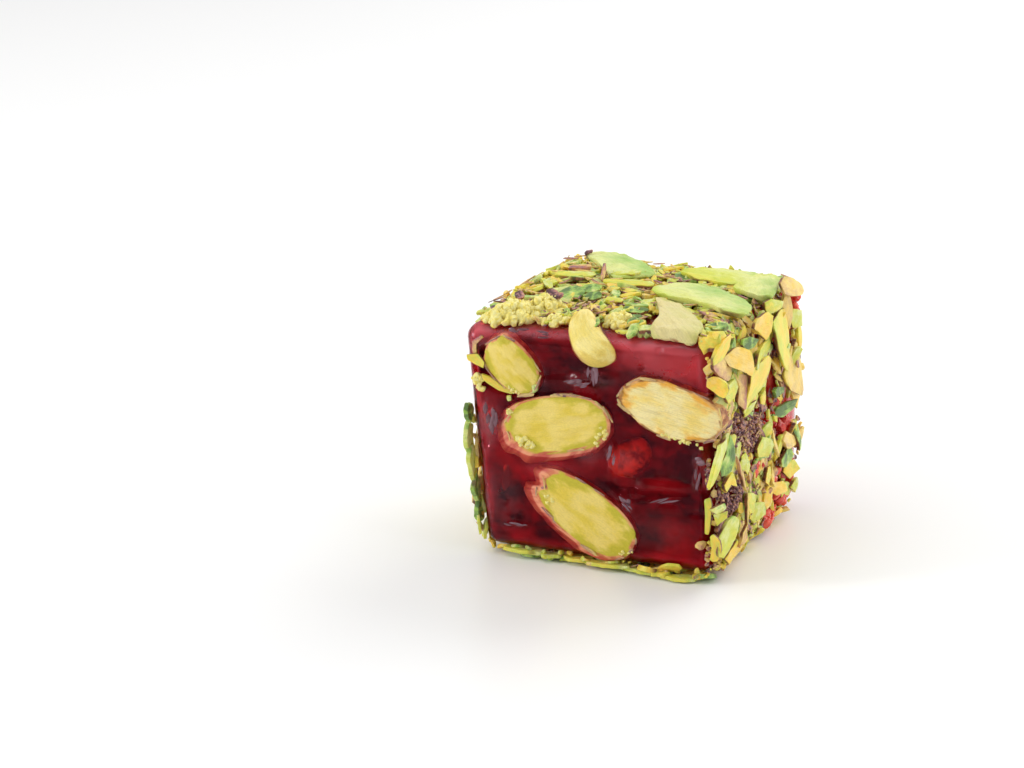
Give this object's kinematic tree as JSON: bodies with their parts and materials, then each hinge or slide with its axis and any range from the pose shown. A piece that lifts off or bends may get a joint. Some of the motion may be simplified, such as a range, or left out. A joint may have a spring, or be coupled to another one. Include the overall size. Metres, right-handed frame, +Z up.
{
  "type": "turkish delight",
  "caption": "Cube of dark red lokum with whole pistachio kernels showing in its cut faces, rolled in slivered pistachio.",
  "frame": {"origin": "middle of the bounding box at its lowest level, on the surface that the cube rests on", "axes": "+Z up; +Y from the cut face in front to the cut face behind, along the bar it was cut from; +X to the right, seen from the front"},
  "size_m": [0.04, 0.0374, 0.0363],
  "materials": {
    "red_jelly": "glossy, translucent dark red sugar gel, knife-drawn on the cut faces",
    "nut_slivers": "matt, pressed pistachio slivers, from leaf green to pale yellow, with brown skin",
    "cut_kernel": "matt, slightly fibrous cut pistachio with a thin pink-brown skin at its rim",
    "green_slice": "matt, cut lengthwise, pale green inside with a darker green edge"
  },
  "bodies": {
    "root": {"jelly": "red_jelly", "nut_coating": "nut_slivers", "kernel_edge": "cut_kernel", "kernel_front_1": "cut_kernel", "kernel_front_2": "cut_kernel", "kernel_front_3": "cut_kernel", "kernel_front_4": "cut_kernel", "kernel_back_1": "cut_kernel", "kernel_back_2": "cut_kernel", "kernel_back_3": "cut_kernel", "kernel_back_4": "cut_kernel", "kernel_back_5": "cut_kernel", "top_slice_1": "green_slice", "top_slice_2": "green_slice", "top_slice_3": "green_slice", "top_slice_4": "green_slice", "top_slice_5": "green_slice"}
  },
  "joints": []
}
